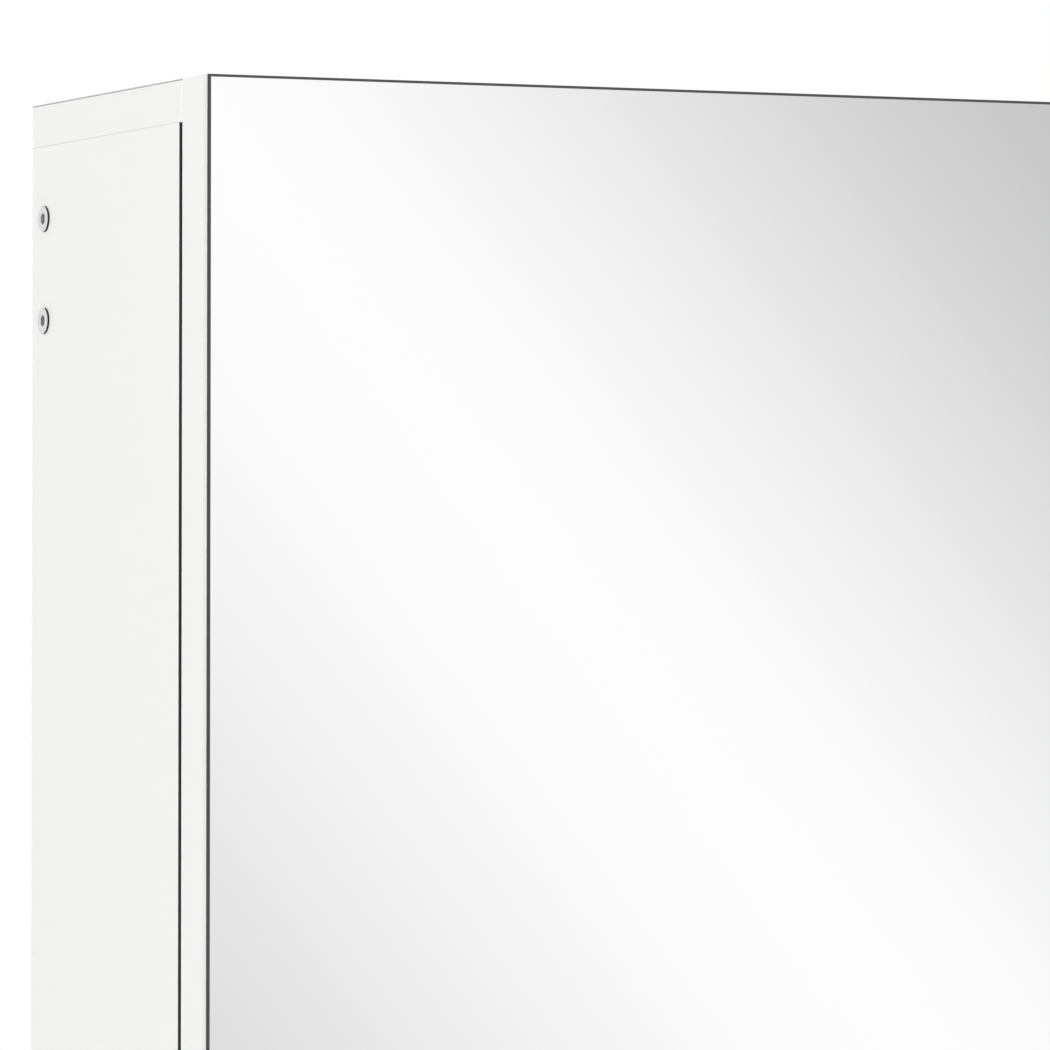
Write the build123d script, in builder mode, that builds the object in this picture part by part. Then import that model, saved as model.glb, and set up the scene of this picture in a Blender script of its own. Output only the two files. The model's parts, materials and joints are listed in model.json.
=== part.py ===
from build123d import *
import os

# Bathroom mirror cabinet with two frameless mirror doors, in millimetres.
# The origin is the middle of the two wall screw holes, on the wall plane.
# X runs to the right, Y runs towards the wall and Z runs up, so the mirrors face -Y.

# Overall sizes
cabinet_width = 600.0
cabinet_depth = 130.0
carcass_height = 535.0
door_overhang = 15.0

# Boards and sheets
panel_thickness = 12.0
door_board_thickness = 16.0
mirror_thickness = 3.0
film_thickness = 0.2
back_thickness = 3.0
board_arris = 0.5
mirror_arris = 0.8

# How the boards meet
door_rest_gap = 0.3
side_setback = 1.0
door_middle_gap = 3.0
back_inset = 0.5
rebate_width = 5.0
back_play = 0.5
joint_play = 0.05

# Hanging rail
rail_height = 69.0
rail_thickness = 12.0
wall_hole_spacing = 400.0
wall_hole_radius = 3.25
notch_play = 0.5

# Rail screws, whose heads stand a little proud of the side panels
rail_screw_inset = 20.25
rail_screw_head_radius = 3.6
rail_screw_head_height = 3.2
rail_screw_proud = 0.7
rail_screw_radius = 2.5
rail_screw_length = 50.0
hexagon_across_flats = 3.0
hexagon_depth = 2.0

# Cam fittings and dowels
cam_radius = 6.0
cam_depth = 9.5
cam_from_end = 24.0
cam_front = 32.0
cam_rear = 78.0
cam_bore_radius = 3.0
cam_cross_length = 7.0
cam_bolt_radius = 2.5
cam_bolt_grip = 8.0
cam_rod_radius = 1.5
cam_head_radius = 2.7
cam_head_height = 3.0
cam_rod_hole_radius = 3.2
dowel_radius = 3.0
dowel_length = 24.0
dowel_grip = 8.0
dowel_from_front = 55.0
dowel_end_arris = 0.6

# Pins that hold the back panel in its rebate
back_pin_radius = 0.6
back_pin_length = 9.0
back_pin_head_radius = 1.4
back_pin_head_height = 0.3
back_pins_per_side = 4

# Shelves and their pins
shelf_thickness = 4.0
shelf_end_play = 1.5
shelf_front_setback = 6.0
shelf_back_play = 3.0
shelf_arris = 0.4
shelf_pin_radius = 2.5
shelf_hole_depth = 8.0
shelf_hole_pitch = 32.0
shelf_holes_in_row = 9
shelf_holes_used = (1, 6)
front_row_setback = 22.0
rear_row_from_rail = 11.0
shelf_pin_stem = 5.5
shelf_pin_flange_radius = 4.0
shelf_pin_flange = 0.8
shelf_pin_tongue = 7.0
shelf_pin_tongue_width = 6.0
shelf_pin_tongue_height = 2.0

# Clear buffers on the front edge of the partition, shared by the two doors
buffer_radius = 5.0
buffer_arris = 0.4
buffer_air = 0.1
buffer_from_end = 40.0

# Hinge cups in the doors
hinge_from_door_top = 90.0
hinge_from_carcass_bottom = 90.0
cup_centre = 21.5
cup_radius = 17.5
cup_depth = 11.5
cup_wall = 0.8
cup_bore_spare = 0.2
flange_thickness = 1.0
flange_length = 58.0
flange_width = 13.0
flange_corner = 4.0
flange_rim = 2.0
flange_notch_half = 9.0
flange_notch_reach = 10.0
cup_screw_offset = 9.5
cup_screw_spacing = 45.0

# Hinge pivots and bends, each as the distance in from the door's hinge edge
# and the distance behind the door's rear face
side_link_cup_pivot = (9.99, -2.0)
side_link_arm_pivot = (36.0, 13.0)
side_link_bends = ((13.7, -5.1), (28.7, 6.25))
middle_link_cup_pivot = (11.04, -5.35)
middle_link_arm_pivot = (25.46, -2.16)
middle_link_bends = ((13.85, -8.45), (19.2, -8.9), (27.5, -8.15))
arm_neck = (28.2, 3.3)
arm_shoulder = (24.2, 27.0)
arm_tail = (24.2, 44.0)

# Hinge links, arm and pins
link_side_play = 0.3
middle_link_half_width = 3.5
middle_link_thickness = 1.5
middle_link_cup_eye = 2.9
middle_link_arm_eye = 1.8
side_link_width = 3.0
side_link_thickness = 1.4
side_link_cup_eye = 2.2
side_link_arm_eye = 2.8
middle_link_bend_radius = 0.8
side_link_bend_radius = 2.5
cheek_thickness = 1.2
ear_radius = 2.2
arm_neck_radius = 1.8
arm_pivot_radius = 3.0
arm_foot_height = 6.9
web_inset = 0.2
hinge_pin_radius = 1.0
hinge_pin_play = 0.05
open_pivot_play = 0.8
rivet_radius = 1.6
rivet_height = 0.5

# Mounting plates on the side panels
plate_thickness = 2.0
plate_screw_setback = 37.0
plate_screw_spacing = 32.0
plate_wing_length = 46.0
plate_wing_width = 12.0
plate_foot_length = 28.0
plate_foot_width = 16.0
plate_corner = 3.0
plate_boss_length = 18.0

# Small screws of the hinges
screw_radius = 1.75
screw_head_radius = 3.5
screw_head_height = 1.6
cup_screw_length = 12.0
plate_screw_length = 10.0
arm_screw_radius = 2.0
arm_screw_head_radius = 3.4
arm_screw_head_height = 2.0
arm_screw_length = 12.0
screw_point_share = 0.3
cross_length = 3.6
cross_width = 0.9
cross_depth = 0.9

# Places that follow from the sizes above
half_width = cabinet_width / 2
half_panel = panel_thickness / 2
door_front = -cabinet_depth
door_rear = door_front + mirror_thickness + film_thickness + door_board_thickness
board_front = door_rear + door_rest_gap
side_front = board_front + side_setback
carcass_top = panel_thickness + rail_height / 2
carcass_bottom = carcass_top - carcass_height
inner_top = carcass_top - panel_thickness
inner_bottom = carcass_bottom + panel_thickness
inner_height = inner_top - inner_bottom
inner_middle = (inner_top + inner_bottom) / 2
side_face = half_width - panel_thickness
rebate_depth = back_thickness + back_inset
rail_front = -rebate_depth - rail_thickness
rail_middle = -rebate_depth - rail_thickness / 2
rail_screw_levels = (inner_top - rail_screw_inset, inner_top - rail_height + rail_screw_inset)
door_height = carcass_height + door_overhang
door_middle = carcass_top - door_height / 2
door_width = half_width - door_middle_gap / 2
door_centre = -half_width + door_width / 2
cam_places = (side_front + cam_front, side_front + cam_rear)
dowel_place = side_front + dowel_from_front
row_places = (side_front + front_row_setback, rail_front - rear_row_from_rail)
row_start = inner_middle - (shelf_holes_in_row - 1) * shelf_hole_pitch / 2
row_levels = [row_start + count * shelf_hole_pitch for count in range(shelf_holes_in_row)]
shelf_levels = [row_levels[count] for count in shelf_holes_used]
hinge_levels = {
    "upper": carcass_top - hinge_from_door_top,
    "lower": carcass_bottom + hinge_from_carcass_bottom,
}
cheek_inside = middle_link_half_width + link_side_play
cheek_outside = cheek_inside + cheek_thickness
side_link_inside = cheek_outside + link_side_play
side_link_outside = side_link_inside + side_link_thickness
rivet_inside = side_link_outside + link_side_play
plate_place = side_front + plate_screw_setback
cup_place = -half_width + cup_centre
web_underside = -half_width + arm_shoulder[0] + arm_pivot_radius - cheek_thickness
along_x = (0, 90, 0)
along_y = (90, 0, 0)

# The uprights: where each one's middle is, which way its cams face and which sides take shelf pins
uprights = {
    "left_side_panel": (-half_width + half_panel, 1, (1,)),
    "right_side_panel": (half_width - half_panel, -1, (-1,)),
    "centre_partition": (0.0, -1, (-1, 1)),
}

# Back panel pins, spread along the middle of the rebate
pin_shares = [(2 * count + 1) / back_pins_per_side - 1 for count in range(back_pins_per_side)]
back_pin_places = []
for share in pin_shares:
    for side in (-1, 1):
        beside = side * (side_face + rebate_width / 2)
        above = inner_middle + side * (inner_height + rebate_width) / 2
        back_pin_places.append((beside, 0, inner_middle + share * inner_height / 2))
        back_pin_places.append((share * side_face, 0, above))

os.makedirs("parts", exist_ok=True)


def save(piece, name):
    piece.label = name
    export_step(piece, f"parts/{name}.step")


def mirrored(piece):
    with BuildPart() as other_hand:
        add(mirror(piece, about=Plane.YZ, mode=Mode.PRIVATE))
    return other_hand.part


def placed(piece, *places):
    with BuildPart() as copies:
        with Locations(*places):
            add(piece)
    return copies.part


def hinge_xy(point):
    return (-half_width + point[0], door_rear + point[1])


def bore(radius, depth, places, rotation=(0, 0, 0)):
    with Locations(*places):
        Cylinder(radius, 2 * depth, rotation=rotation, mode=Mode.SUBTRACT)


def screw(head_radius, head_height, shank_radius, length, hexagon=False):
    """A screw whose head stands on height zero and whose shank hangs below it."""
    point = 2 * shank_radius
    with BuildPart() as body:
        Cylinder(head_radius, head_height, align=(Align.CENTER, Align.CENTER, Align.MIN))
        fillet(body.edges().sort_by(Axis.Z)[-1], head_height / 5)
        Cylinder(shank_radius, length - point, align=(Align.CENTER, Align.CENTER, Align.MAX))
        with Locations((0, 0, point - length)):
            Cone(
                shank_radius * screw_point_share,
                shank_radius,
                point,
                align=(Align.CENTER, Align.CENTER, Align.MAX),
            )
        with BuildSketch(Plane.XY.offset(head_height)):
            if hexagon:
                RegularPolygon(hexagon_across_flats / 2, 6, major_radius=False)
            else:
                Rectangle(cross_length, cross_width)
                Rectangle(cross_width, cross_length)
        extrude(amount=-hexagon_depth if hexagon else -cross_depth, mode=Mode.SUBTRACT)
    return body.part


# Top and bottom boards, with a stopped rebate for the back panel
for name, board_bottom, inner_face in (
    ("top_board", inner_top, inner_top),
    ("bottom_board", carcass_bottom, inner_bottom),
):
    with BuildPart() as board:
        with BuildSketch(Plane.XY.offset(board_bottom)):
            with Locations((0, board_front)):
                Rectangle(cabinet_width, -board_front, align=(Align.CENTER, Align.MIN))
        extrude(amount=panel_thickness)
        fillet(board.edges(), board_arris)
        with Locations((0, 0, inner_face)):
            Box(2 * (side_face + rebate_width), 2 * rebate_depth, 2 * rebate_width, mode=Mode.SUBTRACT)
        for middle, cam_side, pin_sides in uprights.values():
            bolts = [(middle, place, inner_face) for place in cam_places]
            bore(cam_bolt_radius, cam_bolt_grip, bolts)
            bore(dowel_radius, dowel_grip, [(middle, dowel_place, inner_face)])
        bore(back_pin_radius, back_inset + back_pin_length, back_pin_places, along_y)
    save(board.part, name)

# Side panels and partition
for name, (middle, cam_side, pin_sides) in uprights.items():
    inner_face = middle + cam_side * half_panel
    outer_face = middle - cam_side * half_panel
    with BuildPart() as panel:
        with BuildSketch(Plane.XY.offset(inner_bottom)):
            with Locations((middle, side_front)):
                Rectangle(panel_thickness, -side_front, align=(Align.CENTER, Align.MIN))
        extrude(amount=inner_height)
        fillet(panel.edges().filter_by(Axis.Z), board_arris)
        if name == "centre_partition":
            with Locations((middle, 0, inner_middle)):
                Box(2 * panel_thickness, 2 * rebate_depth, 2 * inner_height, mode=Mode.SUBTRACT)
            notch_depth = notch_play - rail_front
            notch_height = notch_play + rail_height
            with Locations((middle, 0, inner_top)):
                Box(2 * panel_thickness, 2 * notch_depth, 2 * notch_height, mode=Mode.SUBTRACT)
        else:
            with Locations((inner_face, 0, inner_middle)):
                Box(2 * rebate_width, 2 * rebate_depth, 2 * inner_height, mode=Mode.SUBTRACT)
            heads = [(outer_face, rail_middle, level) for level in rail_screw_levels]
            bore(rail_screw_head_radius + joint_play, rail_screw_head_height - rail_screw_proud, heads, along_x)
            bore(rail_screw_radius, panel_thickness, heads, along_x)
            reach = plate_screw_length - plate_thickness
            for level in hinge_levels.values():
                ends = (level - plate_screw_spacing / 2, level + plate_screw_spacing / 2)
                bore(screw_radius, reach, [(inner_face, plate_place, end) for end in ends], along_x)
        for end, inward in ((inner_top, -1), (inner_bottom, 1)):
            cam_level = end + inward * cam_from_end
            bore(cam_rod_hole_radius, cam_from_end, [(middle, place, end) for place in cam_places])
            bore(cam_radius, cam_depth, [(inner_face, place, cam_level) for place in cam_places], along_x)
            bore(dowel_radius, dowel_length - dowel_grip, [(middle, dowel_place, end)])
        for side in pin_sides:
            face = middle + side * half_panel
            holes = [(face, place, level) for place in row_places for level in row_levels]
            bore(shelf_pin_radius, shelf_hole_depth, holes, along_x)
        bore(back_pin_radius, back_inset + back_pin_length, back_pin_places, along_y)
    save(panel.part, name)

# Back panel in its rebate
with BuildPart() as back_panel:
    with BuildSketch(Plane.XZ.offset(back_inset)):
        with Locations((0, inner_middle)):
            Rectangle(
                2 * (side_face + rebate_width - back_play),
                inner_height + 2 * (rebate_width - back_play),
            )
        with GridLocations(wall_hole_spacing, 0, 2, 1):
            Circle(wall_hole_radius, mode=Mode.SUBTRACT)
        with Locations(*[(x, z) for x, y, z in back_pin_places]):
            Circle(back_pin_radius, mode=Mode.SUBTRACT)
    extrude(amount=back_thickness)
save(back_panel.part, "back_panel")

with BuildPart() as back_pin:
    Cylinder(back_pin_head_radius, back_pin_head_height, align=(Align.CENTER, Align.CENTER, Align.MIN))
    Cylinder(back_pin_radius, back_pin_length, align=(Align.CENTER, Align.CENTER, Align.MAX))
pin_spots = [Location((x, -back_inset, z), (-90, 0, 0)) for x, y, z in back_pin_places]
save(placed(back_pin.part, *pin_spots), "back_panel_pins")

# Hanging rail under the top board
with BuildPart() as hanging_rail:
    with BuildSketch(Plane.XZ.offset(rebate_depth)):
        Rectangle(2 * side_face, rail_height)
        with GridLocations(wall_hole_spacing, 0, 2, 1):
            Circle(wall_hole_radius, mode=Mode.SUBTRACT)
    extrude(amount=rail_thickness)
    reach = rail_screw_length + rail_screw_head_height - rail_screw_proud - panel_thickness
    rail_ends = [(side * side_face, rail_middle, level) for side in (-1, 1) for level in rail_screw_levels]
    bore(rail_screw_radius, reach, rail_ends, along_x)
save(hanging_rail.part, "hanging_rail")

rail_screw = screw(
    rail_screw_head_radius,
    rail_screw_head_height,
    rail_screw_radius,
    rail_screw_length,
    hexagon=True,
)
head_seat = half_width + rail_screw_proud - rail_screw_head_height
rail_screw_spots = [
    Location((side * head_seat, rail_middle, level), (0, side * 90, 0))
    for side in (-1, 1)
    for level in rail_screw_levels
]
save(placed(rail_screw, *rail_screw_spots), "rail_screws")

# Cam housings, with a cross in the face and a bore for the bolt's head
bore_reach = cam_radius + cam_head_height / 2
with BuildPart() as cam:
    Cylinder(cam_radius, cam_depth, align=(Align.CENTER, Align.CENTER, Align.MAX))
    with BuildSketch(Plane.XY):
        Rectangle(cam_cross_length, 2 * cross_width)
        Rectangle(2 * cross_width, cam_cross_length)
    extrude(amount=-2 * cross_depth, mode=Mode.SUBTRACT)
    with Locations((cam_radius - bore_reach, 0, -half_panel)):
        Cylinder(
            cam_bore_radius,
            2 * bore_reach,
            rotation=along_x,
            align=(Align.CENTER, Align.CENTER, Align.MIN),
            mode=Mode.SUBTRACT,
        )
with BuildPart() as cam_bolt:
    Cylinder(cam_bolt_radius, cam_bolt_grip, align=(Align.CENTER, Align.CENTER, Align.MIN))
    Cylinder(cam_rod_radius, cam_from_end, align=(Align.CENTER, Align.CENTER, Align.MAX))
    with Locations((0, 0, -cam_from_end)):
        Cylinder(cam_head_radius, cam_head_height)
with BuildPart() as dowel:
    Cylinder(dowel_radius, dowel_length, align=(Align.CENTER, Align.CENTER, Align.MAX))
    chamfer(dowel.edges().filter_by(GeomType.CIRCLE), dowel_end_arris)
cam_spots = []
bolt_spots = []
dowel_spots = []
for middle, cam_side, pin_sides in uprights.values():
    for end, inward in ((inner_top, -1), (inner_bottom, 1)):
        turned = 0 if inward < 0 else 180
        for place in cam_places:
            face = middle + cam_side * half_panel
            cam_plane = Plane(
                origin=(face, place, end + inward * cam_from_end),
                x_dir=(0, 0, -inward),
                z_dir=(cam_side, 0, 0),
            )
            cam_spots.append(cam_plane.location)
            bolt_spots.append(Location((middle, place, end), (turned, 0, 0)))
        dowel_end = end - inward * dowel_grip
        dowel_spots.append(Location((middle, dowel_place, dowel_end), (turned, 0, 0)))
save(placed(cam.part, *cam_spots), "cam_housings")
save(placed(cam_bolt.part, *bolt_spots), "cam_bolts")
save(placed(dowel.part, *dowel_spots), "dowels")

# Glass shelves on pins
shelf_span = side_face - half_panel
for side, side_name in ((-1, "left"), (1, "right")):
    for level, level_name in zip(shelf_levels, ("lower", "upper")):
        with BuildPart() as shelf:
            with BuildSketch(Plane.XY.offset(level + shelf_pin_tongue_height / 2)):
                with Locations((side * (side_face + half_panel) / 2, side_front + shelf_front_setback)):
                    Rectangle(
                        shelf_span - 2 * shelf_end_play,
                        -side_front - shelf_front_setback - rebate_depth - shelf_back_play,
                        align=(Align.CENTER, Align.MIN),
                    )
            extrude(amount=shelf_thickness)
            chamfer(shelf.edges(), shelf_arris)
        save(shelf.part, f"{side_name}_{level_name}_shelf")

with BuildPart() as shelf_pin:
    Cylinder(
        shelf_pin_radius,
        shelf_pin_stem,
        rotation=along_x,
        align=(Align.CENTER, Align.CENTER, Align.MAX),
    )
    Cylinder(
        shelf_pin_flange_radius,
        shelf_pin_flange,
        rotation=along_x,
        align=(Align.CENTER, Align.CENTER, Align.MIN),
    )
    Box(
        shelf_pin_flange + shelf_pin_tongue,
        shelf_pin_tongue_width,
        shelf_pin_tongue_height,
        align=(Align.MIN, Align.CENTER, Align.CENTER),
    )
shelf_pin_spots = [
    Location((middle + side * half_panel, place, level), (0, 0, 0 if side > 0 else 180))
    for middle, cam_side, pin_sides in uprights.values()
    for side in pin_sides
    for place in row_places
    for level in shelf_levels
]
save(placed(shelf_pin.part, *shelf_pin_spots), "shelf_pins")

# Door buffers
buffer_height = side_setback + door_rest_gap - buffer_air
with BuildPart() as buffer:
    Cylinder(
        buffer_radius,
        buffer_height,
        rotation=along_y,
        align=(Align.CENTER, Align.CENTER, Align.MIN),
    )
    chamfer(buffer.faces().sort_by(Axis.Y)[0].edges(), buffer_arris)
buffer_levels = (inner_top - buffer_from_end, inner_bottom + buffer_from_end)
save(placed(buffer.part, *[(0, side_front, level) for level in buffer_levels]), "door_buffers")

# Doors: board, safety film and mirror glass
with BuildPart() as door_board:
    with BuildSketch(Plane.XZ.offset(-door_rear)):
        with Locations((door_centre, door_middle)):
            Rectangle(door_width, door_height)
    extrude(amount=door_board_thickness)
    fillet(door_board.faces().sort_by(Axis.Y)[-1].edges(), board_arris)
    for level in hinge_levels.values():
        bore(cup_radius, cup_depth + cup_bore_spare, [(cup_place, door_rear, level)], along_y)
        ends = (level - cup_screw_spacing / 2, level + cup_screw_spacing / 2)
        bore(
            screw_radius,
            cup_screw_length - flange_thickness,
            [(cup_place + cup_screw_offset, door_rear, end) for end in ends],
            along_y,
        )
save(door_board.part, "left_door_board")
save(mirrored(door_board.part), "right_door_board")

with BuildPart() as safety_film:
    with BuildSketch(Plane.XZ.offset(-door_front - mirror_thickness)):
        with Locations((door_centre, door_middle)):
            Rectangle(door_width, door_height)
    extrude(amount=-film_thickness)
save(safety_film.part, "left_safety_film")
save(mirrored(safety_film.part), "right_safety_film")

with BuildPart() as mirror_glass:
    with BuildSketch(Plane.XZ.offset(-door_front)):
        with Locations((door_centre, door_middle)):
            Rectangle(door_width, door_height)
    extrude(amount=-mirror_thickness)
    chamfer(mirror_glass.faces().sort_by(Axis.Y)[0].edges(), mirror_arris)
save(mirror_glass.part, "left_mirror")
save(mirrored(mirror_glass.part), "right_mirror")

# Hinge cup with a screw flange and two ears for the links
rear_plane = Plane.XZ.offset(-door_rear)
with BuildPart() as cup:
    with BuildSketch(rear_plane):
        with Locations((cup_place, 0)):
            Circle(cup_radius)
    extrude(amount=cup_depth)
    with BuildSketch(rear_plane):
        with Locations((cup_place, 0)):
            Circle(cup_radius + flange_rim)
        with Locations((cup_place + cup_screw_offset, 0)):
            RectangleRounded(flange_width, flange_length, flange_corner)
            with GridLocations(0, cup_screw_spacing, 1, 2):
                Circle(screw_radius, mode=Mode.SUBTRACT)
    extrude(amount=-flange_thickness)
    with BuildSketch(rear_plane.offset(-flange_thickness)):
        with Locations((cup_place, 0)):
            Circle(cup_radius - cup_wall)
    extrude(amount=flange_thickness + cup_depth - cup_wall, mode=Mode.SUBTRACT)
    with BuildSketch(rear_plane):
        with Locations((-half_width, 0)):
            Rectangle(2 * flange_notch_reach, 2 * flange_notch_half)
    extrude(amount=-flange_thickness, mode=Mode.SUBTRACT)
    ear_floor = cup_wall / 2 - cup_depth
    ear_wall = cup_centre - cup_radius + cup_wall
    for ear_side in (cheek_inside, -cheek_outside):
        with BuildSketch(Plane.XY.offset(ear_side)):
            with Locations(hinge_xy(side_link_cup_pivot), hinge_xy(middle_link_cup_pivot)):
                Circle(ear_radius)
            with Locations(hinge_xy((ear_wall + cup_wall / 2, ear_floor + cup_wall / 2))):
                Rectangle(cup_wall, cup_wall)
            with Locations(hinge_xy((ear_wall + cup_wall / 2, side_link_cup_pivot[1]))):
                Rectangle(cup_wall, cup_wall)
            with Locations(hinge_xy((middle_link_cup_pivot[0] + ear_radius, ear_floor + cup_wall / 2))):
                Rectangle(cup_wall, cup_wall)
            make_hull()
            with Locations(hinge_xy(side_link_cup_pivot), hinge_xy(middle_link_cup_pivot)):
                Circle(hinge_pin_radius, mode=Mode.SUBTRACT)
        extrude(amount=cheek_thickness)

# Bent middle link, with an open eye at the cup
with BuildPart() as middle_link:
    with BuildSketch(Plane.XY.offset(-middle_link_half_width)):
        route = (middle_link_cup_pivot, *middle_link_bends, middle_link_arm_pivot)
        with BuildLine():
            FilletPolyline(*[hinge_xy(point) for point in route], radius=middle_link_bend_radius)
        trace(line_width=middle_link_thickness)
        with Locations(hinge_xy(middle_link_cup_pivot)):
            Circle(middle_link_cup_eye)
            Circle(hinge_pin_radius + open_pivot_play, mode=Mode.SUBTRACT)
        with Locations(hinge_xy(middle_link_arm_pivot)):
            Circle(middle_link_arm_eye)
            Circle(hinge_pin_radius + hinge_pin_play, mode=Mode.SUBTRACT)
    extrude(amount=2 * middle_link_half_width)

# Pair of side links outside the arm's cheeks
with BuildPart() as side_links:
    for link_side in (side_link_inside, -side_link_outside):
        with BuildSketch(Plane.XY.offset(link_side)):
            route = (side_link_cup_pivot, *side_link_bends, side_link_arm_pivot)
            with BuildLine():
                FilletPolyline(*[hinge_xy(point) for point in route], radius=side_link_bend_radius)
            trace(line_width=side_link_width)
            with Locations(hinge_xy(side_link_cup_pivot)):
                Circle(side_link_cup_eye)
            with Locations(hinge_xy(side_link_arm_pivot)):
                Circle(side_link_arm_eye)
            with Locations(hinge_xy(side_link_cup_pivot), hinge_xy(side_link_arm_pivot)):
                Circle(hinge_pin_radius + hinge_pin_play, mode=Mode.SUBTRACT)
        extrude(amount=side_link_thickness)

# Hinge arm, a channel whose two cheeks narrow to the middle link's pivot
foot_front = (arm_shoulder[0] - arm_foot_height, arm_shoulder[1] + arm_pivot_radius)
foot_rear = (arm_tail[0] - arm_foot_height, arm_tail[1])
cheek_forms = (
    ((middle_link_arm_pivot, middle_link_arm_eye), (arm_neck, arm_neck_radius)),
    ((arm_neck, arm_neck_radius), (side_link_arm_pivot, arm_pivot_radius)),
    ((side_link_arm_pivot, arm_pivot_radius), (arm_shoulder, arm_pivot_radius), (foot_front, arm_pivot_radius)),
    tuple((corner, arm_pivot_radius) for corner in (arm_shoulder, foot_front, arm_tail, foot_rear)),
)
with BuildPart() as arm:
    for cheek_side in (cheek_inside, -cheek_outside):
        for form in cheek_forms:
            with BuildSketch(Plane.XY.offset(cheek_side)):
                for corner, radius in form:
                    with Locations(hinge_xy(corner)):
                        Circle(radius)
                make_hull()
        extrude(amount=cheek_thickness)
    web_route = [hinge_xy(point) for point in (side_link_arm_pivot, arm_shoulder, arm_tail)]
    below_web = [hinge_xy((0, point[1])) for point in (arm_tail, side_link_arm_pivot)]
    with BuildSketch(Plane.XY.offset(-cheek_inside)):
        with BuildLine():
            Polyline(*web_route)
        trace(line_width=2 * (arm_pivot_radius - web_inset))
        with BuildLine():
            Polyline(*web_route)
        trace(line_width=2 * (arm_pivot_radius - cheek_thickness), mode=Mode.SUBTRACT)
        with BuildLine():
            Polyline(*web_route, *below_web, close=True)
        make_face(mode=Mode.SUBTRACT)
    extrude(amount=2 * cheek_inside)
    with BuildSketch(Plane.XY.offset(-cheek_outside)):
        with Locations(hinge_xy(side_link_arm_pivot), hinge_xy(middle_link_arm_pivot)):
            Circle(hinge_pin_radius)
    extrude(amount=2 * cheek_outside, mode=Mode.SUBTRACT)
    bore(arm_screw_radius, arm_pivot_radius, [(web_underside, plate_place, 0)], along_x)

# Mounting plate with a boss that carries the arm
face_plane = Plane(origin=(-side_face, plate_place, 0), x_dir=(0, 1, 0), z_dir=(1, 0, 0))
boss_height = web_underside + side_face
with BuildPart() as plate:
    with BuildSketch(face_plane):
        RectangleRounded(plate_wing_width, plate_wing_length, plate_corner)
        RectangleRounded(plate_foot_length, plate_foot_width, plate_corner)
    extrude(amount=plate_thickness)
    with BuildSketch(face_plane):
        Rectangle(plate_boss_length, 2 * middle_link_half_width)
    extrude(amount=boss_height)
    with BuildSketch(face_plane):
        with GridLocations(0, plate_screw_spacing, 1, 2):
            Circle(screw_radius)
    extrude(amount=plate_thickness, mode=Mode.SUBTRACT)
    bore(arm_screw_radius, arm_screw_length - cheek_thickness, [(web_underside, plate_place, 0)], along_x)

# Pins of the arm and of the cup
with BuildPart() as arm_pins:
    with Locations(hinge_xy(side_link_arm_pivot)):
        Cylinder(hinge_pin_radius, 2 * rivet_inside)
        with Locations((0, 0, rivet_inside + rivet_height / 2), (0, 0, -rivet_inside - rivet_height / 2)):
            Cylinder(rivet_radius, rivet_height)
    with Locations(hinge_xy(middle_link_arm_pivot)):
        Cylinder(hinge_pin_radius, 2 * cheek_outside)

stub_length = rivet_inside - cheek_inside
with BuildPart() as cup_pins:
    with Locations(hinge_xy(middle_link_cup_pivot)):
        Cylinder(hinge_pin_radius, 2 * cheek_outside)
    for stub_side in (-1, 1):
        with Locations(hinge_xy(side_link_cup_pivot)):
            with Locations((0, 0, stub_side * (cheek_inside + stub_length / 2))):
                Cylinder(hinge_pin_radius, stub_length)
            with Locations((0, 0, stub_side * (rivet_inside + rivet_height / 2))):
                Cylinder(rivet_radius, rivet_height)

hinge_pieces = {
    "cup": cup.part,
    "middle_link": middle_link.part,
    "side_links": side_links.part,
    "arm": arm.part,
    "plate": plate.part,
    "arm_pins": arm_pins.part,
    "cup_pins": cup_pins.part,
}
for piece_name, piece in hinge_pieces.items():
    for level_name, level in hinge_levels.items():
        left_piece = placed(piece, (0, 0, level))
        save(left_piece, f"left_{level_name}_{piece_name}")
        save(mirrored(left_piece), f"right_{level_name}_{piece_name}")

# Hinge screws
cup_screw = screw(screw_head_radius, screw_head_height, screw_radius, cup_screw_length)
cup_screw_spots = [
    Location((cup_place + cup_screw_offset, door_rear + flange_thickness, level + end), (-90, 0, 0))
    for level in hinge_levels.values()
    for end in (-cup_screw_spacing / 2, cup_screw_spacing / 2)
]
left_cup_screws = placed(cup_screw, *cup_screw_spots)
save(left_cup_screws, "left_cup_screws")
save(mirrored(left_cup_screws), "right_cup_screws")

plate_screw = screw(screw_head_radius, screw_head_height, screw_radius, plate_screw_length)
arm_screw = screw(arm_screw_head_radius, arm_screw_head_height, arm_screw_radius, arm_screw_length)
plate_screw_spots = []
arm_screw_spots = []
for side in (-1, 1):
    turned = (0, -side * 90, 0)
    for level in hinge_levels.values():
        arm_screw_seat = side * -(web_underside + cheek_thickness)
        arm_screw_spots.append(Location((arm_screw_seat, plate_place, level), turned))
        for end in (-plate_screw_spacing / 2, plate_screw_spacing / 2):
            plate_screw_seat = side * (side_face - plate_thickness)
            plate_screw_spots.append(Location((plate_screw_seat, plate_place, level + end), turned))
save(placed(plate_screw, *plate_screw_spots), "plate_screws")
save(placed(arm_screw, *arm_screw_spots), "arm_screws")
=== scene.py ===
import bpy
import json
from math import cos, pi, radians, sin
from mathutils import Vector, Matrix


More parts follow.
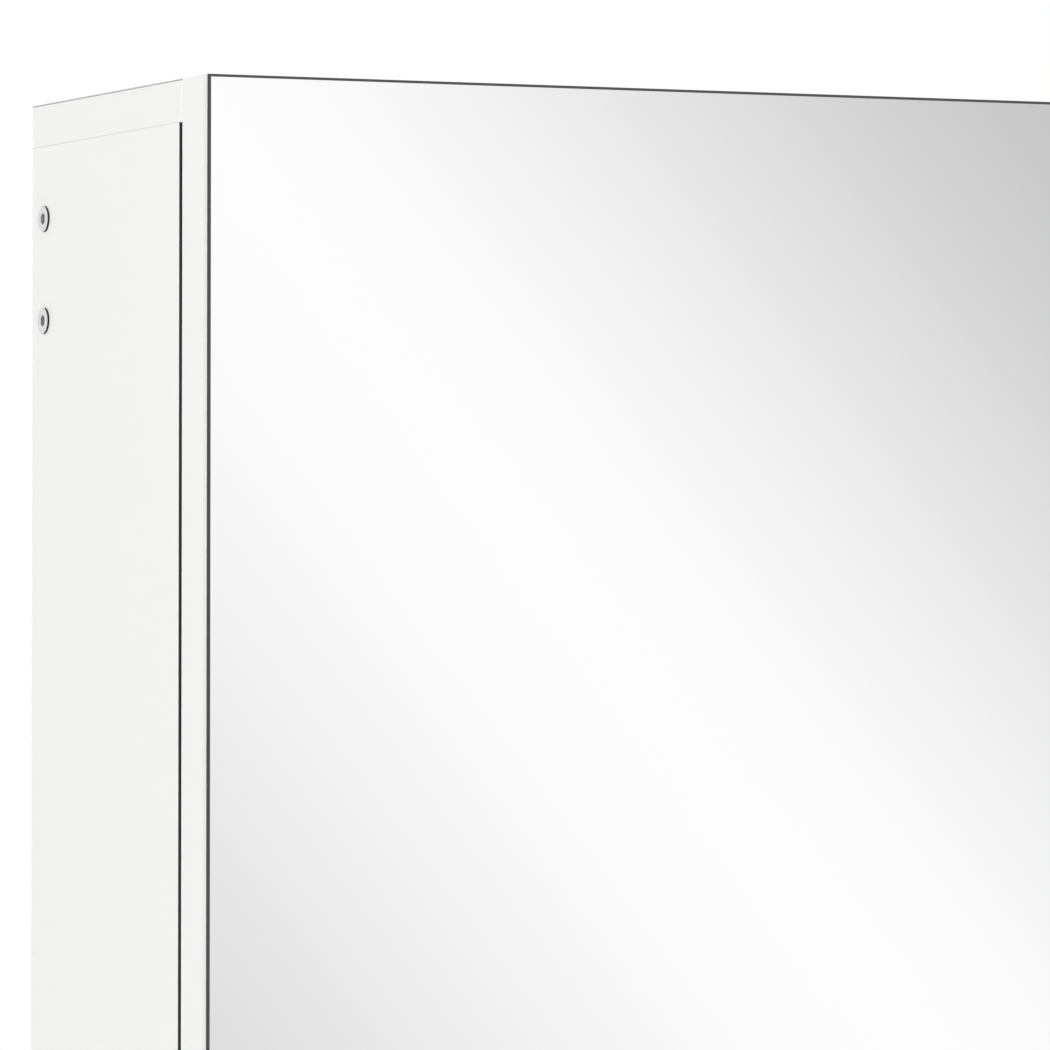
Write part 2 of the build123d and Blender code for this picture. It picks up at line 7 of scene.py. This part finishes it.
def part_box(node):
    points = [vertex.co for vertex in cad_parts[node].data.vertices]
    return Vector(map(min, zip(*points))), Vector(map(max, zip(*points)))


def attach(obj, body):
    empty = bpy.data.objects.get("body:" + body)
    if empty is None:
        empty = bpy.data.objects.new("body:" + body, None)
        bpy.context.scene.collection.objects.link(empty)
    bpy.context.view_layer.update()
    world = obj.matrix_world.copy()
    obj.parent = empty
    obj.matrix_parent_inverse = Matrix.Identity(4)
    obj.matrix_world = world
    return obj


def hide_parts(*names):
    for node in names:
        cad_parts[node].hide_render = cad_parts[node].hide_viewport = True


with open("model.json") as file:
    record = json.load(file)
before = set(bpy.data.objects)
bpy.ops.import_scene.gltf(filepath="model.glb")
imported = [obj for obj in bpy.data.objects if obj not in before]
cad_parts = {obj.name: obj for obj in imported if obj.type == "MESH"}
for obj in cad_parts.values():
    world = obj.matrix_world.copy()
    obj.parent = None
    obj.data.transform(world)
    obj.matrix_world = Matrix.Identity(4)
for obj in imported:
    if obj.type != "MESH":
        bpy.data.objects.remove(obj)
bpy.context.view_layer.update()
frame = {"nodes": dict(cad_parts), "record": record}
nodes = frame["nodes"]


# A hex code as a linear colour
def colour(code):
    values = [int(code[i:i + 2], 16) / 255 for i in (1, 3, 5)]
    return [v / 12.92 if v <= 0.04045 else ((v + 0.055) / 1.055) ** 2.4 for v in values] + [1.0]


# Links a socket to a node's output, or sets it to a plain value
def feed(tree, socket, value):
    if isinstance(value, bpy.types.NodeSocket):
        tree.links.new(value, socket)
    else:
        socket.default_value = value


def addNode(tree, kind, settings=None, **inputs):
    node = tree.nodes.new(kind)
    for name, value in (settings or {}).items():
        setattr(node, name, value)
    for name, value in inputs.items():
        feed(tree, node.inputs[name.replace("_", " ")], value)
    return node


# One step of arithmetic on node values
def combine(tree, operation, *values):
    node = addNode(tree, "ShaderNodeMath", {"operation": operation})
    for socket, value in zip(node.inputs, values):
        feed(tree, socket, value)
    return node.outputs[0]


def blendTones(tree, factor, first, second):
    node = addNode(tree, "ShaderNodeMix", {"data_type": "RGBA"})
    for index, value in ((0, factor), (6, first), (7, second)):
        feed(tree, node.inputs[index], value)
    return node.outputs[2]


# Noise between a look's two tones on object coordinates, with its grey value
def mottle(tree, look):
    place = addNode(tree, "ShaderNodeTexCoord").outputs["Object"]
    stretch = look.get("stretch", (1, 1, 1))
    mapped = addNode(tree, "ShaderNodeMapping", Vector=place, Scale=stretch).outputs["Vector"]
    grain, detail = look["grain"], look.get("detail", 3.0)
    grey = addNode(tree, "ShaderNodeTexNoise", Vector=mapped, Scale=grain, Detail=detail).outputs["Fac"]
    first, second = look["tones"]
    return blendTones(tree, grey, colour(first), colour(second)), grey


# A material with a look's tones, roughness between two values, and a bump of a depth in metres
def finish(name, look):
    made = bpy.data.materials.new(name)
    made.use_nodes = True
    tree = made.node_tree
    shader = tree.nodes["Principled BSDF"]
    tone, grey = mottle(tree, look)
    feed(tree, shader.inputs["Base Color"], tone)
    for label, value in look.get("inputs", {}).items():
        shader.inputs[label].default_value = value
    low, high = look["rough"]
    span = addNode(tree, "ShaderNodeMapRange", Value=grey, To_Min=low, To_Max=high)
    feed(tree, shader.inputs["Roughness"], span.outputs["Result"])
    strength, depth = look["bump"]
    raised = addNode(tree, "ShaderNodeBump", Height=grey, Strength=strength, Distance=depth)
    feed(tree, shader.inputs["Normal"], raised.outputs["Normal"])
    return made


# A finish's node tree, its colour input, the tone that feeds it, and the point being shaded
def opened(made):
    tree = made.node_tree
    base = tree.nodes["Principled BSDF"].inputs["Base Color"]
    place = addNode(tree, "ShaderNodeTexCoord").outputs["Object"]
    spot = addNode(tree, "ShaderNodeSeparateXYZ", Vector=place).outputs
    return tree, base, base.links[0].from_socket, spot


# Melamine-faced board: a fine pebbled face with a soft sheen
whiteFace = {"tones": ("#f3f3f2", "#f6f6f5"), "grain": 900.0, "rough": (0.34, 0.42), "bump": (0.12, 0.00003)}
board = finish("melamine-faced MDF, white", whiteFace)

# The top board, with a fine dark line along its upper arris at the joint of its end bands: the joint is
# real, its dark tone is painted shade of the rounded arris
arrisShade = {"width": 0.0005, "tone": "#a6a6a5"}
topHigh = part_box("top_board")[1]
topBoard = finish("melamine-faced MDF, white with painted arris shade", whiteFace)
tree, base, tone, spot = opened(topBoard)
sideways = combine(tree, "ABSOLUTE", spot["X"])
# Painted shade along the upper arris, at both ends of the board
atEnd = combine(tree, "GREATER_THAN", sideways, topHigh.x - arrisShade["width"])
atTop = combine(tree, "GREATER_THAN", spot["Z"], topHigh.z - arrisShade["width"])
onShadedArris = combine(tree, "MULTIPLY", atEnd, atTop)
feed(tree, base, blendTones(tree, onShadedArris, tone, colour(arrisShade["tone"])))

# The side panels, with a near-black strip on the outer front arris that shows in the gap beside the door:
# painted shade of the gap, not a seal
gapShade = {"depth": 0.0006, "soft": 0.0001, "width": 0.0025}
gapShadeLook = {"tones": ("#070707", "#0b0b0b"), "grain": 900.0}
sidePanel = finish("melamine-faced MDF, white with painted gap shade", whiteFace)
tree, base, tone, spot = opened(sidePanel)
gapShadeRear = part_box("left_side_panel")[0].y + gapShade["depth"]
behind = addNode(
    tree, "ShaderNodeMapRange", Value=spot["Y"], From_Min=gapShadeRear - gapShade["soft"], From_Max=gapShadeRear
).outputs["Result"]
sideways = combine(tree, "ABSOLUTE", spot["X"])
within = combine(tree, "LESS_THAN", sideways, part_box("right_side_panel")[1].x - gapShade["width"])
plain = combine(tree, "MAXIMUM", behind, within)
# Painted shade: the near-black strip takes the place of the board's tone near the outer front arris
feed(tree, base, blendTones(tree, plain, mottle(tree, gapShadeLook)[0], tone))

backLook = {"tones": ("#e2e1dd", "#e8e7e4"), "grain": 500.0, "rough": (0.45, 0.55), "bump": (0.25, 0.00006)}
fibreboard = finish("lacquered hardboard, white", backLook)

# Silvered glass: nearly perfect reflection, with a faint waviness
mirrorLook = {
    "tones": ("#f0f0f0", "#f1f1f1"),
    "grain": 6.0,
    "detail": 1.0,
    "rough": (0.004, 0.008),
    "bump": (0.02, 0.0002),
    "inputs": {"Metallic": 1.0},
}
mirrorGlass = finish("float-glass mirror, silvered", mirrorLook)

# Ground arris of the mirror glass, and its paler flat edge
arrisLook = {"tones": ("#2c2f2f", "#3a3d3d"), "grain": 700.0, "rough": (0.3, 0.45), "bump": (0.2, 0.00004)}
arris = finish("ground glass arris", arrisLook)
edgeLook = {"tones": ("#e4e8e6", "#eaedeb"), "grain": 700.0, "rough": (0.3, 0.4), "bump": (0.15, 0.00004)}
edge = finish("ground glass edge over white film", edgeLook)

filmLook = {"tones": ("#e6e7e6", "#ebeceb"), "grain": 400.0, "rough": (0.4, 0.5), "bump": (0.1, 0.00003)}
film = finish("polyethylene safety film", filmLook)

# Nickel-plated and zinc-plated steel, with fine drawn marks
nickelLook = {
    "tones": ("#b4b1ab", "#c0bdb8"),
    "grain": 300.0,
    "detail": 4.0,
    "stretch": (1, 1, 6),
    "rough": (0.2, 0.32),
    "bump": (0.08, 0.00003),
    "inputs": {"Metallic": 1.0},
}
nickel = finish("nickel-plated steel", nickelLook)
zincLook = {
    "tones": ("#b6b7b9", "#c4c5c6"),
    "grain": 800.0,
    "detail": 5.0,
    "rough": (0.36, 0.5),
    "bump": (0.25, 0.00005),
    "inputs": {"Metallic": 0.85},
}
zinc = finish("zinc-plated steel", zincLook)

shelfLook = {
    "tones": ("#dcebe4", "#e3f0ea"),
    "grain": 20.0,
    "rough": (0.01, 0.03),
    "bump": (0.02, 0.0001),
    "inputs": {"IOR": 1.52, "Transmission Weight": 0.96},
}
shelfGlass = finish("soda-lime float glass", shelfLook)

bufferLook = {
    "tones": ("#e2e4e3", "#ecedec"),
    "grain": 300.0,
    "rough": (0.22, 0.32),
    "bump": (0.1, 0.00003),
    "inputs": {"IOR": 1.5, "Transmission Weight": 0.7},
}
clearPlastic = finish("polyurethane, clear", bufferLook)

# Beech dowels, with the grain drawn out along the wood
beechLook = {
    "tones": ("#c19a6b", "#d6b58a"),
    "grain": 160.0,
    "detail": 6.0,
    "stretch": (1, 1, 0.08),
    "rough": (0.55, 0.7),
    "bump": (0.3, 0.0001),
}
beech = finish("beech, unfinished", beechLook)

slots = {
    "white_board": board,
    "white_fibreboard": fibreboard,
    "screw_steel": zinc,
    "zinc": zinc,
    "beech": beech,
    "shelf_glass": shelfGlass,
    "nickel": nickel,
    "clear_plastic": clearPlastic,
    "white_film": film,
    "mirror_glass": mirrorGlass,
}
for part in frame["record"]["subparts"]:
    data = nodes[part["node"]].data
    if data.materials:
        for index in range(len(data.materials)):
            data.materials[index] = slots[part["material_slot"]]
    else:
        data.materials.append(slots[part["material_slot"]])
for name in ("left_side_panel", "right_side_panel"):
    nodes[name].data.materials[0] = sidePanel
nodes["top_board"].data.materials[0] = topBoard
print("materials set")

# Mirror panes, rebuilt so that face, arris and flat edge each have their own finish
pane = {"arris": 0.0008, "relief": 0.00002}


def makePane(side):
    low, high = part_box(f"{side}_mirror")
    rings = (
        (low.y + pane["relief"], pane["arris"]),
        (low.y + pane["arris"], 0.0),
        (high.y, 0.0),
    )
    points = []
    for y, inset in rings:
        x0, x1, z0, z1 = low.x + inset, high.x - inset, low.z + inset, high.z - inset
        points += [(x0, y, z0), (x1, y, z0), (x1, y, z1), (x0, y, z1)]
    faces = [(0, 1, 2, 3)]
    finishes = [0]
    for ring in (0, 1):
        for n in range(4):
            a, b = ring * 4 + n, ring * 4 + (n + 1) % 4
            faces.append((a, a + 4, b + 4, b))
            finishes.append(ring + 1)
    faces.append((11, 10, 9, 8))
    finishes.append(2)
    mesh = bpy.data.meshes.new(f"{side}_mirror_pane")
    mesh.from_pydata(points, [], faces)
    for surface in (mirrorGlass, arris, edge):
        mesh.materials.append(surface)
    for polygon, index in zip(mesh.polygons, finishes):
        polygon.material_index = index
    mesh.update()
    made = bpy.data.objects.new(f"{side}_mirror_pane", mesh)
    bpy.context.scene.collection.objects.link(made)
    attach(made, f"{side}_door")
    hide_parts(f"{side}_mirror")


for side in ("left", "right"):
    makePane(side)
print("mirror panes made")

# Rail screws: one screw is turned from a profile, and a small node group sets them one below another
railScrew = {
    "rows": 2,
    "head radius": 0.0036,
    "proud": 0.0007,
    "head height": 0.0032,
    "shank radius": 0.0025,
    "length": 0.05,
    "point radius": 0.00075,
    "point length": 0.005,
    "socket": 0.0015,
    "socket depth": 0.002,
    "rounding": 0.00012,
    "rounding middle": (0.4, 0.3),
    "segments": 72,
}
# The flank and socket are darker than bare zinc, as the shade round the photographed heads is
flankLook = {
    "tones": ("#1b1b1c", "#262627"),
    "grain": 800.0,
    "detail": 5.0,
    "rough": (0.45, 0.6),
    "bump": (0.25, 0.00005),
    "inputs": {"Metallic": 0.4},
}
flank = finish("zinc-plated steel, in the shade of its head", flankLook)
# The head faces and socket walls are a lighter copy of the zinc: painted light on the lit heads
litHeadLook = {
    "tones": ("#dadbdb", "#e8e9e9"),
    "grain": 1200.0,
    "detail": 5.0,
    "rough": (0.38, 0.5),
    "bump": (0.3, 0.00004),
    "inputs": {"Metallic": 0.8},
}
litHeadFace = finish("zinc-plated steel, head face with painted light", litHeadLook)


# A screw along X, with its head's face towards -X and the panel's face at zero
def turnedScrew():
    r, top, fall = railScrew["head radius"], -railScrew["proud"], railScrew["rounding"]
    inward, downward = railScrew["rounding middle"]
    seat = railScrew["head height"] - railScrew["proud"]
    shank, end, socket = railScrew["shank radius"], seat + railScrew["length"], railScrew["socket"]
    rings = (
        (railScrew["point radius"], end, False, 1),
        (shank, end - railScrew["point length"], False, 1),
        (shank, seat, False, 1),
        (r, seat, False, 1),
        (r, top + fall, False, 0),
        (r - inward * fall, top + downward * fall, False, 0),
        (r - fall, top, False, 0),
        (socket + fall, top, True, 0),
        (socket, top + fall, True, 0),
        (socket, top + railScrew["socket depth"], True, 1),
    )
    count = railScrew["segments"]
    points = []
    for radius, x, hexagon, shade in rings:
        for n in range(count):
            turn = 2 * pi * n / count
            reach = radius / cos((turn + pi / 6) % (pi / 3) - pi / 6) if hexagon else radius
            points.append((x, reach * cos(turn), reach * sin(turn)))
    faces = [tuple(range(count)), tuple(len(points) - 1 - n for n in range(count))]
    shades = [1, 1]
    for ring in range(len(rings) - 1):
        for n in range(count):
            a, b = ring * count + n, ring * count + (n + 1) % count
            faces.append((a, a + count, b + count, b))
            shades.append(rings[ring][3])
    mesh = bpy.data.meshes.new("rail_screw_shape")
    mesh.from_pydata(points, [], faces)
    mesh.materials.append(litHeadFace)
    mesh.materials.append(flank)
    for polygon, shade in zip(mesh.polygons, shades):
        polygon.material_index = shade
    mesh.validate()
    return mesh


# The node group that sets copies of an object along Z
def columnGroup(name, master):
    group = bpy.data.node_groups.new(name, "GeometryNodeTree")
    sockets = group.interface
    for label, kind, value in (
        ("Rows", "NodeSocketInt", railScrew["rows"]),
        ("Spacing", "NodeSocketFloat", 0.0),
    ):
        sockets.new_socket(label, in_out="INPUT", socket_type=kind).default_value = value
    sockets.new_socket("Geometry", in_out="OUTPUT", socket_type="NodeSocketGeometry")
    entry, leave = group.nodes.new("NodeGroupInput"), group.nodes.new("NodeGroupOutput")
    step = addNode(group, "ShaderNodeCombineXYZ", Z=entry.outputs["Spacing"]).outputs[0]
    line = addNode(group, "GeometryNodeMeshLine", Count=entry.outputs["Rows"], Offset=step).outputs[0]
    source = addNode(group, "GeometryNodeObjectInfo", Object=master).outputs["Geometry"]
    copies = addNode(group, "GeometryNodeInstanceOnPoints", Points=line, Instance=source).outputs[0]
    solid = addNode(group, "GeometryNodeRealizeInstances", Geometry=copies).outputs[0]
    faced = addNode(group, "GeometryNodeMaterialSelection", Material=litHeadFace).outputs[0]
    clad = addNode(
        group, "GeometryNodeSetMaterial", Geometry=solid, Selection=faced, Material=litHeadFace
    ).outputs[0]
    group.links.new(clad, leave.inputs[0])
    return group


# A column of screws, worked out by the node group and kept as a plain mesh
def screwColumn(name, mesh, place, turn):
    master = bpy.data.objects.new(name + "_master", mesh)
    group = columnGroup(name + "_column", master)
    holder = bpy.data.objects.new(name + "_holder", bpy.data.meshes.new(name + "_holder"))
    bpy.context.scene.collection.objects.link(holder)
    modifier = holder.modifiers.new("column", "NODES")
    modifier.node_group = group
    low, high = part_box("rail_screws")
    spacing = 2 * railScrew["head radius"] - (high.z - low.z)
    for item in group.interface.items_tree:
        if item.name == "Spacing" and item.in_out == "INPUT":
            modifier[item.identifier] = spacing
    holder.update_tag()
    bpy.context.view_layer.update()
    evaluated = holder.evaluated_get(bpy.context.evaluated_depsgraph_get())
    plainMesh = bpy.data.meshes.new_from_object(evaluated)
    bpy.data.objects.remove(holder)
    bpy.data.objects.remove(master)
    plainMesh.transform(Matrix.Translation(place) @ Matrix.Rotation(turn, 4, "Z"))
    made = bpy.data.objects.new(name, plainMesh)
    bpy.context.scene.collection.objects.link(made)
    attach(made, "carcass")
    return made


screwLow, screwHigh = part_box("rail_screws")
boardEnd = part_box("top_board")[1].x
screwY = (screwLow.y + screwHigh.y) / 2
firstZ = screwHigh.z - railScrew["head radius"]
screwMesh = turnedScrew()
columns = [
    screwColumn("left_rail_screws", screwMesh, (-boardEnd, screwY, firstZ), 0.0),
    screwColumn("right_rail_screws", screwMesh, (boardEnd, screwY, firstZ), pi),
]
for column in columns:
    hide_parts("rail_screws")
print("rail screws made")


# A stage rectangle, which only reflections see unless it is said to show
def card(name, corners, surface, glossyOnly=True):
    mesh = bpy.data.meshes.new(name)
    mesh.from_pydata(corners, [], [(0, 1, 2, 3)])
    mesh.materials.append(surface)
    made = bpy.data.objects.new(name, mesh)
    bpy.context.scene.collection.objects.link(made)
    if glossyOnly:
        made.visible_camera = False
        made.visible_diffuse = False
        made.visible_shadow = False
        made.visible_transmission = False
    return made


def square(half, z):
    return [(-half, -half, z), (half, -half, z), (half, half, z), (-half, half, z)]


# One where a ray comes from the camera, a mirror or glass, and zero where it only lights a surface
def directRays(tree):
    rays = addNode(tree, "ShaderNodeLightPath").outputs
    seen = combine(tree, "MAXIMUM", rays["Is Camera Ray"], rays["Is Transmission Ray"])
    return combine(tree, "MAXIMUM", seen, rays["Is Glossy Ray"])


# Studio: a white world that shows at full strength and lights more softly, and a pale floor
stage = {"floor": -1.6, "floor half": 30, "side light": 0.62, "top light": 0.3, "floor glow": 0.4}
white = (1, 1, 1, 1)
world = bpy.data.worlds.new("studio")
bpy.context.scene.world = world
world.use_nodes = True
tree = world.node_tree
heading = addNode(tree, "ShaderNodeTexCoord").outputs["Generated"]
upward = addNode(tree, "ShaderNodeSeparateXYZ", Vector=heading).outputs["Z"]
soft = addNode(
    tree, "ShaderNodeMapRange", Value=upward, To_Min=stage["side light"], To_Max=stage["top light"]
).outputs["Result"]
level = addNode(tree, "ShaderNodeMapRange", Value=directRays(tree), To_Min=soft, To_Max=1.0)
background = tree.nodes["Background"]
feed(tree, background.inputs["Strength"], level.outputs["Result"])
feed(tree, background.inputs["Color"], white)

floorLook = {"tones": ("#fafafa", "#fdfdfd"), "grain": 2.0, "rough": (0.8, 0.9), "bump": (0.02, 0.0005)}
floorFinish = finish("pale studio floor", floorLook)
tree = floorFinish.node_tree
lift = addNode(tree, "ShaderNodeMapRange", Value=directRays(tree), To_Min=0.0, To_Max=stage["floor glow"])
shader = tree.nodes["Principled BSDF"]
feed(tree, shader.inputs["Emission Strength"], lift.outputs["Result"])
feed(tree, shader.inputs["Emission Color"], white)
card("floor", square(stage["floor half"], stage["floor"]), floorFinish, glossyOnly=False)

# Three soft lamps, all aimed at the middle of the cabinet
middle = (0, -0.06, -0.2)
lamps = (
    {"name": "left softbox", "place": (-3.2, -1.6, 0.6), "size": (2.4, 2.4), "power": 62.0},
    {"name": "front softbox", "place": (0.8, -3.6, 1.0), "size": (2.6, 2.6), "power": 22.0},
    {"name": "top softbox", "place": (0, -0.4, 3.2), "size": (2.4, 2.4), "power": 12.0},
)
for lamp in lamps:
    data = bpy.data.lights.new(lamp["name"], "AREA")
    data.shape = "RECTANGLE"
    data.size, data.size_y = lamp["size"]
    data.energy = lamp["power"]
    made = bpy.data.objects.new(lamp["name"], data)
    bpy.context.scene.collection.objects.link(made)
    made.location = lamp["place"]
    made.rotation_euler = (Vector(middle) - Vector(lamp["place"])).to_track_quat("-Z", "Y").to_euler()
    made.visible_glossy = False
print("lights placed")

# Camera, as read from the photograph, with its angles in degrees and its lens in millimetres
view = {
    "place": (-2.124, -4.584, -0.326),
    "turn": 23.3005,
    "rise": 2.9622,
    "roll": 0.037,
    "lens": 605.5,
    "sensor": 36.0,
    "far": 100.0,
}
data = bpy.data.cameras.new("camera")
data.sensor_width = view["sensor"]
data.lens = view["lens"]
data.clip_end = view["far"]
camera = bpy.data.objects.new("camera", data)
bpy.context.scene.collection.objects.link(camera)
aim = (
    Matrix.Rotation(radians(-view["turn"]), 4, "Z")
    @ Matrix.Rotation(radians(90 + view["rise"]), 4, "X")
    @ Matrix.Rotation(radians(view["roll"]), 4, "Z")
)
camera.matrix_world = Matrix.Translation(view["place"]) @ aim
bpy.context.scene.camera = camera

# What the mirror shows: a gradient on a card that stands where the camera's bounced view goes.
# Each ramp has its start, its end, and its levels there, along a slanted line in metres.
wall = {
    "lean": 0.774,
    "right ramp": (-0.025, 0.587, 1.0, 0.56),
    "left ramp": (-0.698, -0.025, 0.65, 1.0),
    "strength": 1.12,
    "half": 1.2,
    "reach": 6.0,
    "aim from corner": (0.125, 0.13),
    "mirror plane": -0.13,
}
glow = bpy.data.materials.new("reflected studio wall")
glow.use_nodes = True
tree = glow.node_tree
tree.nodes.remove(tree.nodes["Principled BSDF"])
place = addNode(tree, "ShaderNodeTexCoord").outputs["Object"]
slope = addNode(tree, "ShaderNodeVectorMath", {"operation": "DOT_PRODUCT"})
feed(tree, slope.inputs[0], place)
feed(tree, slope.inputs[1], (-1, wall["lean"], 0))


def ramp(start, end, startLevel, endLevel):
    made = addNode(
        tree, "ShaderNodeMapRange", {"interpolation_type": "SMOOTHSTEP"}, Value=slope.outputs["Value"],
        From_Min=start, From_Max=end, To_Min=startLevel, To_Max=endLevel,
    )
    return made.outputs["Result"]


product = combine(tree, "MULTIPLY", ramp(*wall["right ramp"]), ramp(*wall["left ramp"]))
scaled = combine(tree, "MULTIPLY", product, wall["strength"])
light = addNode(tree, "ShaderNodeEmission", Color=white, Strength=scaled)
feed(tree, tree.nodes["Material Output"].inputs["Surface"], light.outputs[0])

forward = (aim @ Vector((0, 0, -1, 0))).xyz
bounced = Vector((forward.x, -forward.y, forward.z)).normalized()
mirrorLow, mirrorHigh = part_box("left_mirror")
across, down = wall["aim from corner"]
centre = Vector((mirrorLow.x + across, wall["mirror plane"], mirrorHigh.z - down))
reflected = card("reflected wall", square(wall["half"], 0), glow)
reflected.location = centre + bounced * wall["reach"]
reflected.rotation_euler = (-bounced).to_track_quat("Z", "Y").to_euler()
bpy.context.scene.view_settings.view_transform = "Standard"
print("camera placed")
